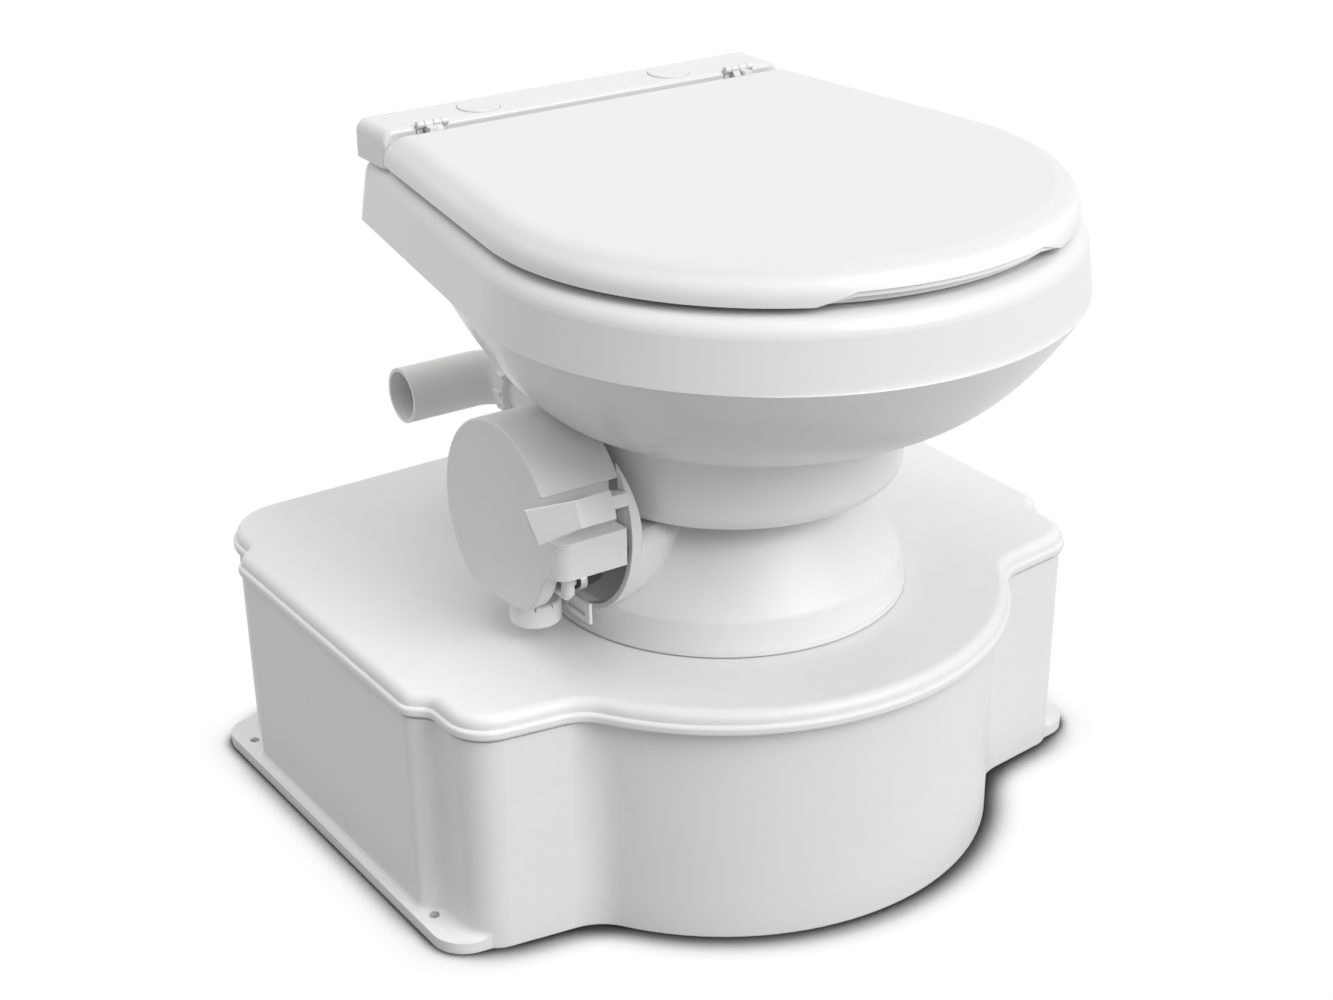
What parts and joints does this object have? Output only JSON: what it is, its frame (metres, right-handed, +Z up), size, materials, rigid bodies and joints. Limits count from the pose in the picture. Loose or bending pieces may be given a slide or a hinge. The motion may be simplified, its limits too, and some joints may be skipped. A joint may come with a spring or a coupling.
{
  "type": "marine gravity toilet",
  "caption": "Low all-in-one toilet: holding tank base with bolting flanges, bell pedestal, side foot pedal, oval bowl, seat and lid on a hinge bar, and a side discharge pipe.",
  "frame": {"origin": "on the floor, under the vertical axis of the pedestal", "axes": "+Z up, -Y towards the front of the bowl, +X to the viewer's right when facing the front; the pedal is on the -X side"},
  "size_m": [0.559, 0.5811, 0.5021],
  "materials": {
    "shell": "satin white moulding",
    "bowl": "glossy white",
    "lid": "satin white",
    "fitting": "fine-grained white",
    "pipe": "smooth white pipe",
    "rubber": "black rubber",
    "pale_rubber": "pale grey rubber",
    "steel": "stainless"
  },
  "bodies": {
    "base": {"tank_body": "shell", "tank_seal": "pale_rubber", "tank_cover": "shell", "pedestal": "shell", "pedestal_gasket": "rubber", "pedestal_bolts": "steel", "ball_seal": "rubber", "bowl_gasket": "rubber", "bowl_bolts": "steel", "shaft_bushings": "fitting", "shaft_seal": "rubber", "return_spring": "steel", "pedal_cover": "fitting", "cover_screws": "steel", "water_valve": "fitting", "valve_bracket": "fitting", "water_hose": "rubber", "hose_clips": "steel", "dip_tube": "pipe", "riser_elbow": "pipe", "outlet_elbow": "pipe", "union_ring": "pipe", "bowl": "bowl", "hinge_bar": "lid", "hinge_caps": "lid", "hinge_bolts": "steel", "hinge_washers": "rubber", "hinge_nuts": "fitting", "hinge_pins": "steel"},
    "drive": {"waste_ball": "fitting", "ball_shaft": "steel", "foot_pedal": "fitting", "pedal_screw": "steel"},
    "plunger": {"valve_plunger": "steel"},
    "nut": {"inlet_nut": "fitting"},
    "seat": {"seat": "lid", "seat_bumpers": "pale_rubber"},
    "lid": {"lid": "lid", "lid_bumpers": "pale_rubber"}
  },
  "joints": [
    {"name": "pedal_press", "type": "hinge", "parent": "base", "child": "drive", "pos_m": [-0.1, 0, 0.272], "axis": [1, 0, 0], "range_deg": [0, 66], "stiffness_Nm_per_rad": 2.5, "springref_deg": -28.65},
    {"name": "plunger_slide", "type": "slide", "parent": "base", "child": "plunger", "axis": [0, 0, -1], "range_m": [0, 0.004]},
    {"name": "seat_lift", "type": "hinge", "parent": "base", "child": "seat", "pos_m": [0, 0.1695, 0.4995], "axis": [-1, 0, 0], "range_deg": [0, 82]},
    {"name": "lid_lift", "type": "hinge", "parent": "seat", "child": "lid", "pos_m": [0, 0.1695, 0.4995], "axis": [-1, 0, 0], "range_deg": [0, 96]},
    {"name": "nut_spin", "type": "hinge", "parent": "base", "child": "nut", "pos_m": [-0.162, -0.006, 0.204], "axis": [0, 0, 1], "continuous": true}
  ],
  "couplings": [
    {"joint": "plunger_slide", "follows": "pedal_press", "m_per_rad": 0.00347}
  ]
}
